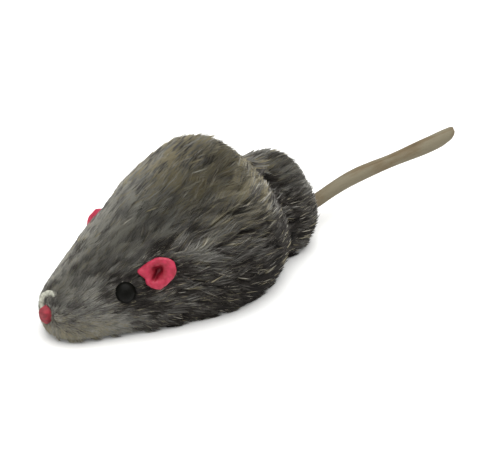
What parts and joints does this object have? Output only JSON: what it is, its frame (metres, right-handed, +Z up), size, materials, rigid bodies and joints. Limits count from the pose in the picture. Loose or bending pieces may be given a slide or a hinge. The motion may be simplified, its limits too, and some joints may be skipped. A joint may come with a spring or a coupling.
{
  "type": "clockwork mouse",
  "caption": "Fur-covered wind-up toy mouse with a spring motor, geared drive wheels, trailing roller, bead eyes, cupped red ears and a stiff leather tail.",
  "frame": {"origin": "on the floor, midway between the two drive wheels under their axle", "axes": "+X forward to the nose, +Y to the left flank, +Z up"},
  "size_m": [0.1272, 0.0473, 0.036],
  "materials": {
    "fur": "short grey-brown rabbit fur on its hide",
    "shell_plastic": "moulded black",
    "chassis_plastic": "moulded black",
    "plate_steel": "zinc-plated, stamped",
    "pillar_steel": "turned",
    "screw_steel": "zinc-plated",
    "spring_steel": "blued",
    "arbor_steel": "turned",
    "ratchet_steel": "stamped",
    "click_steel": "stamped",
    "wire_steel": "drawn wire",
    "gear_brass": "stamped",
    "staff_steel": "turned and cut",
    "key_tin": "nickel-plated, stamped",
    "hub_plastic": "moulded red",
    "tyre_rubber": "moulded",
    "roller_plastic": "moulded off-white",
    "eye_glass": "black bead",
    "washer_steel": "stamped",
    "ear_felt": "red dyed, rolled",
    "nose_felt": "dark red, rolled",
    "tail_leather": "undyed, rolled"
  },
  "bodies": {
    "body": {"fur_cover": "fur", "body_shell": "shell_plastic", "chassis": "chassis_plastic", "left_motor_plate": "plate_steel", "right_motor_plate": "plate_steel", "motor_pillars": "pillar_steel", "chassis_screws": "screw_steel", "mainspring": "spring_steel", "roller_pin": "staff_steel", "left_eye": "eye_glass", "right_eye": "eye_glass", "eye_washers": "washer_steel", "left_ear": "ear_felt", "right_ear": "ear_felt", "nose": "nose_felt", "tail": "tail_leather"},
    "drive_wheels": {"drive_axle": "staff_steel", "axle_pinion": "staff_steel", "left_wheel_hub": "hub_plastic", "right_wheel_hub": "hub_plastic", "left_tyre": "tyre_rubber", "right_tyre": "tyre_rubber"},
    "second_gear": {"second_staff": "staff_steel", "second_wheel": "gear_brass"},
    "first_gear": {"first_staff": "staff_steel", "first_wheel": "gear_brass"},
    "great_gear": {"great_wheel": "gear_brass", "click_rivet": "wire_steel", "click_spring": "wire_steel"},
    "click": {"click": "click_steel"},
    "winder": {"winding_arbor": "arbor_steel", "ratchet_wheel": "ratchet_steel", "winding_key": "key_tin"},
    "roller": {"rear_roller": "roller_plastic"}
  },
  "joints": [
    {"name": "wheel_spin", "type": "hinge", "parent": "body", "child": "drive_wheels", "pos_m": [0, 0, 0.008], "axis": [0, 1, 0], "continuous": true},
    {"name": "second_spin", "type": "hinge", "parent": "body", "child": "second_gear", "pos_m": [0.00207, 0, 0.01521], "axis": [0, 1, 0], "continuous": true},
    {"name": "first_spin", "type": "hinge", "parent": "body", "child": "first_gear", "pos_m": [-0.00567, 0, 0.0198], "axis": [0, 1, 0], "continuous": true},
    {"name": "great_spin", "type": "hinge", "parent": "body", "child": "great_gear", "pos_m": [-0.013, 0, 0.013], "axis": [0, 1, 0], "continuous": true},
    {"name": "wind", "type": "hinge", "parent": "body", "child": "winder", "pos_m": [-0.013, 0, 0.013], "axis": [0, 1, 0], "range_deg": [0, 1530]},
    {"name": "click_lift", "type": "hinge", "parent": "great_gear", "child": "click", "pos_m": [-0.01789, 0, 0.01478], "axis": [0, -1, 0], "range_deg": [0, 8], "stiffness_Nm_per_rad": 0.00001, "deforming": ["click_spring"]},
    {"name": "roller_spin", "type": "hinge", "parent": "body", "child": "roller", "pos_m": [-0.0296, 0, 0.004], "axis": [0, 1, 0], "continuous": true}
  ],
  "couplings": [
    {"joint": "second_spin", "follows": "wheel_spin", "ratio": -0.5},
    {"joint": "first_spin", "follows": "wheel_spin", "ratio": 0.19231},
    {"joint": "great_spin", "follows": "wheel_spin", "ratio": -0.064103}
  ]
}
